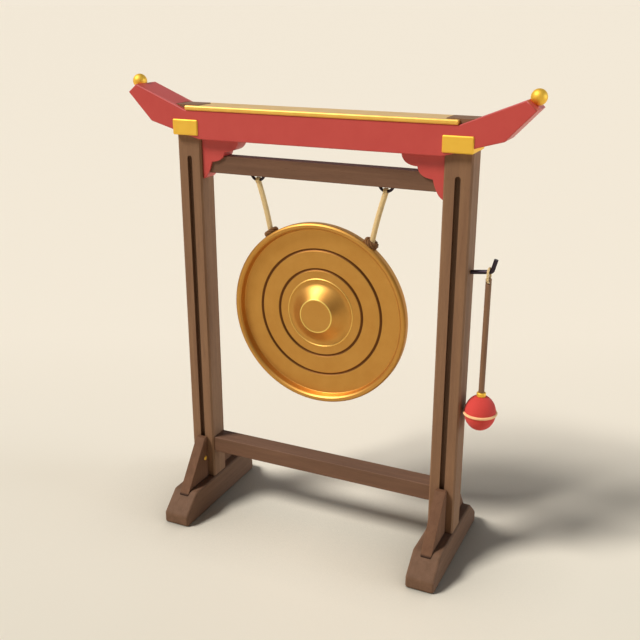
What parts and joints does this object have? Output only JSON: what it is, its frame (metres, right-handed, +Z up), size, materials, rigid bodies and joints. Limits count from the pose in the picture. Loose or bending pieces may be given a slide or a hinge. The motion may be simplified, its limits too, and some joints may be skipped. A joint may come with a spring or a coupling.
{
  "type": "gong stand",
  "caption": "Wooden gong stand with winged red cross beam, gilt trim, braced feet, a bossed bronze gong on cords and a round-headed mallet on a side hook.",
  "frame": {"origin": "on the floor, midway between the two posts and between the feet ends", "axes": "+Z up, +X along the cross beam towards the mallet hook, -Y towards the striker facing the front of the gong"},
  "size_m": [0.7882, 0.275, 0.8842],
  "materials": {
    "brown_wood": "satin stained wood",
    "red_lacquer": "satin red lacquer on wood",
    "gilt_wood": "gilded wood, tan where the top faces up",
    "brass": "polished brass",
    "bronze": "turned and polished bronze",
    "black_iron": "blackened iron rod",
    "straw_cord": "laid straw-coloured cord",
    "dark_cord": "dark brown bound cord",
    "mallet_red": "red leather, smooth",
    "cream_band": "pale brass band"
  },
  "bodies": {
    "stand": {"bottom_stretcher": "brown_wood", "cross_beam": "red_lacquer", "left_back_brace": "brown_wood", "left_back_peg": "brass", "left_bracket": "red_lacquer", "left_collar": "brass", "left_finial_ball": "brass", "left_foot": "brown_wood", "left_front_brace": "brown_wood", "left_front_peg": "brass", "left_post": "brown_wood", "left_staple_eye": "black_iron", "mallet_hook": "black_iron", "right_back_brace": "brown_wood", "right_back_peg": "brass", "right_bracket": "red_lacquer", "right_collar": "brass", "right_finial_ball": "brass", "right_foot": "brown_wood", "right_front_brace": "brown_wood", "right_front_peg": "brass", "right_post": "brown_wood", "right_staple_eye": "black_iron", "top_slab": "gilt_wood", "upper_rail": "brown_wood"},
    "hanging_cords": {"left_cord": "straw_cord", "right_cord": "straw_cord"},
    "hanging_gong": {"gong": "bronze", "left_rim_knot": "dark_cord", "right_rim_knot": "dark_cord"},
    "cord_loop": {"mallet_loop": "straw_cord"},
    "mallet": {"mallet_handle": "brown_wood", "mallet_collar": "brass", "mallet_head": "mallet_red", "mallet_band": "cream_band"}
  },
  "joints": [
    {"name": "gong_swing", "type": "hinge", "parent": "stand", "child": "hanging_cords", "pos_m": [0, 0, 0.6995], "axis": [1, 0, 0], "range_deg": [-30, 30]},
    {"name": "gong_tilt", "type": "hinge", "parent": "hanging_cords", "child": "hanging_gong", "pos_m": [0, 0, 0.60497], "axis": [1, 0, 0], "range_deg": [-12, 12]},
    {"name": "mallet_swing", "type": "hinge", "parent": "stand", "child": "cord_loop", "pos_m": [0.3194, 0, 0.5763], "axis": [1, 0, 0], "range_deg": [-35, 35]},
    {"name": "mallet_tilt", "type": "hinge", "parent": "cord_loop", "child": "mallet", "pos_m": [0.3194, 0, 0.55785], "axis": [0, -1, 0], "range_deg": [0, 45]}
  ]
}
